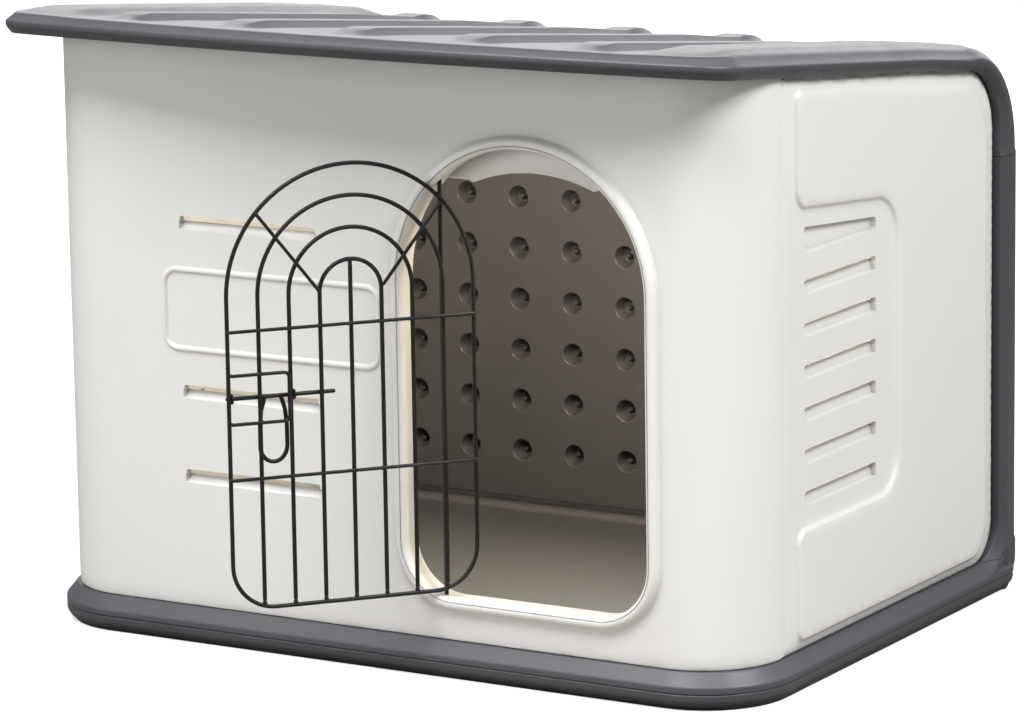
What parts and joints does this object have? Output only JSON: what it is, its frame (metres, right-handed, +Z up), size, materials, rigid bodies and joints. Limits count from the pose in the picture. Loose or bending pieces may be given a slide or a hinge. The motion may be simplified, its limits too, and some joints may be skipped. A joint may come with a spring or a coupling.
{
  "type": "calf hutch",
  "caption": "Low moulded livestock hutch with a grey tray and sloping roof, white panels, an arched doorway and a hinged wire gate with a sliding latch.",
  "frame": {"origin": "centre of the overall bounding box in plan, at the ground", "axes": "+X to the right seen from the front, +Y from the doorway towards the rear, +Z up"},
  "size_m": [0.89, 0.8161, 0.6836],
  "materials": {
    "grey_plastic": "matte, lightly textured",
    "white_plastic": "satin",
    "coated_wire": "glossy black coating",
    "steel_screw": "zinc plated"
  },
  "bodies": {
    "shell": {"base_screw_1": "steel_screw", "base_screw_2": "steel_screw", "base_screw_3": "steel_screw", "base_screw_4": "steel_screw", "base_screw_5": "steel_screw", "base_screw_6": "steel_screw", "base_screw_7": "steel_screw", "base_tray": "grey_plastic", "door_surround": "white_plastic", "door_valance": "white_plastic", "front_panel": "white_plastic", "left_side_panel": "white_plastic", "rear_panel": "grey_plastic", "rear_screw_1": "steel_screw", "rear_screw_2": "steel_screw", "rear_screw_3": "steel_screw", "rear_screw_4": "steel_screw", "rear_screw_5": "steel_screw", "rear_screw_6": "steel_screw", "right_side_panel": "white_plastic", "roof": "grey_plastic"},
    "gate": {"free_side_strut": "coated_wire", "gate_centre_bar": "coated_wire", "gate_inner_arch": "coated_wire", "gate_outer_frame": "coated_wire", "gate_second_arch": "coated_wire", "gate_third_arch": "coated_wire", "hinge_rod": "coated_wire", "hinge_side_strut": "coated_wire", "latch_eye_free_side": "coated_wire", "latch_eye_inner": "coated_wire", "latch_guard": "coated_wire", "lower_cross_bar": "coated_wire", "upper_cross_bar": "coated_wire"},
    "latch_bolt": {"latch_bolt": "coated_wire", "latch_handle": "coated_wire"}
  },
  "joints": [
    {"name": "gate_hinge", "type": "hinge", "parent": "shell", "child": "gate", "pos_m": [0.0805, -0.225, 0.3], "axis": [0, 0, 1], "range_deg": [0, 130.14]},
    {"name": "latch_slide", "type": "slide", "parent": "gate", "child": "latch_bolt", "axis": [-0.6447, -0.7645, 0], "range_m": [0, 0.022]}
  ]
}
